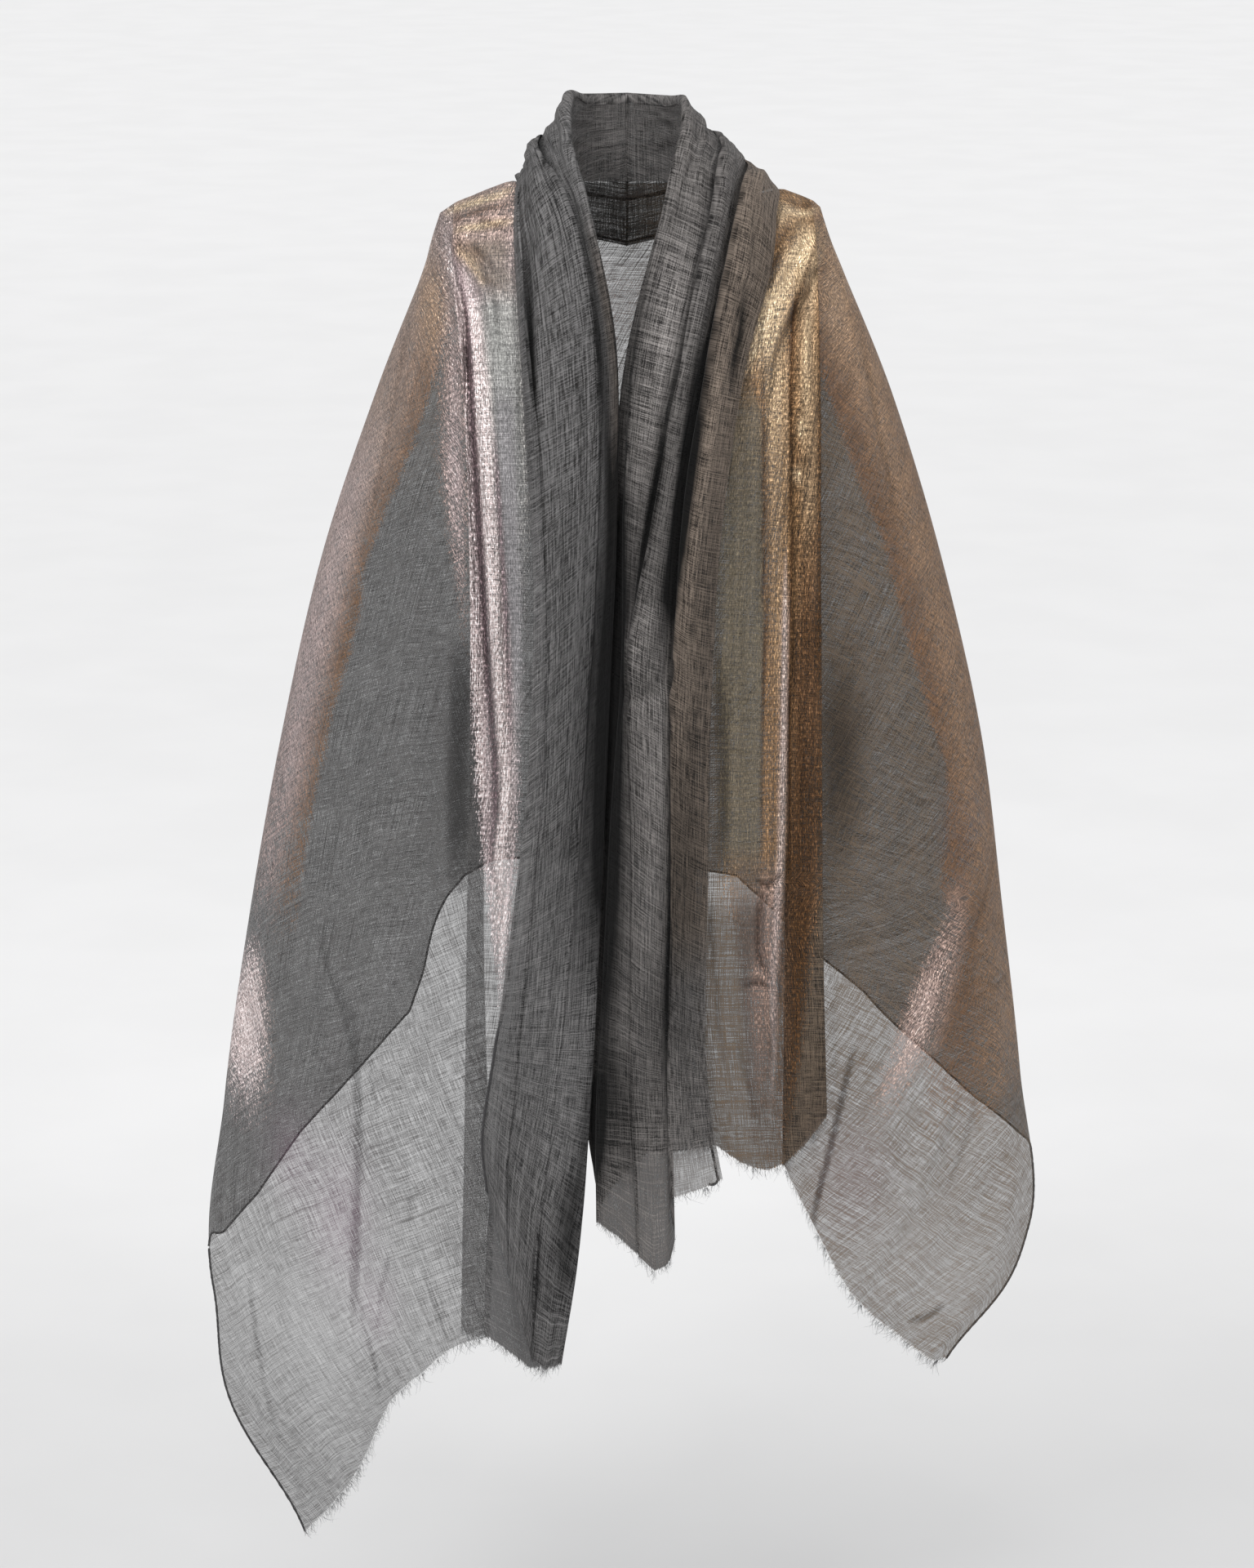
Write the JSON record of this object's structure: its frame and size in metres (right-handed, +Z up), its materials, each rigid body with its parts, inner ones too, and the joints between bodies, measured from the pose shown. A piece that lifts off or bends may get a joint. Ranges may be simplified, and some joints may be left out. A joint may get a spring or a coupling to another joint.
{
  "type": "scarf",
  "caption": "Sheer cashmere scarf worn as a shawl over the shoulders, with a rolled collar at the neck, pleated fronts and frayed ends.",
  "frame": {"origin": "on the axis of the wearer's neck, at the height of the shoulders that carry the scarf", "axes": "+Z up; the wearer faces -Y, so the open front is on the -Y side; +X is on the right as seen from the front"},
  "size_m": [0.8859, 0.3098, 1.5452],
  "materials": {
    "cashmere": "sheer, softly heathered plain weave",
    "rose_foil": "worn rose foil on sheer weave",
    "gold_foil": "worn pale gold foil on sheer weave",
    "rolled_hem": "fine rolled hem",
    "loose_threads": "frayed yarn ends"
  },
  "bodies": {
    "root": {"back": "cashmere", "collar_left": "cashmere", "collar_right": "cashmere", "front_left": "rose_foil", "front_right": "gold_foil", "pleat_left": "cashmere", "pleat_right": "cashmere", "wing_left": "cashmere", "wing_right": "cashmere", "wing_back_left": "cashmere", "wing_back_right": "cashmere", "hem_back": "rolled_hem", "hem_collar_left": "rolled_hem", "hem_collar_right": "rolled_hem", "hem_side_left": "rolled_hem", "hem_side_right": "rolled_hem", "fringe_collar_left": "loose_threads", "fringe_collar_right": "loose_threads", "fringe_under_left": "loose_threads", "fringe_under_right": "loose_threads", "fringe_front_left": "loose_threads", "fringe_front_right": "loose_threads", "fringe_wing_left": "loose_threads", "fringe_wing_right": "loose_threads"}
  },
  "joints": []
}
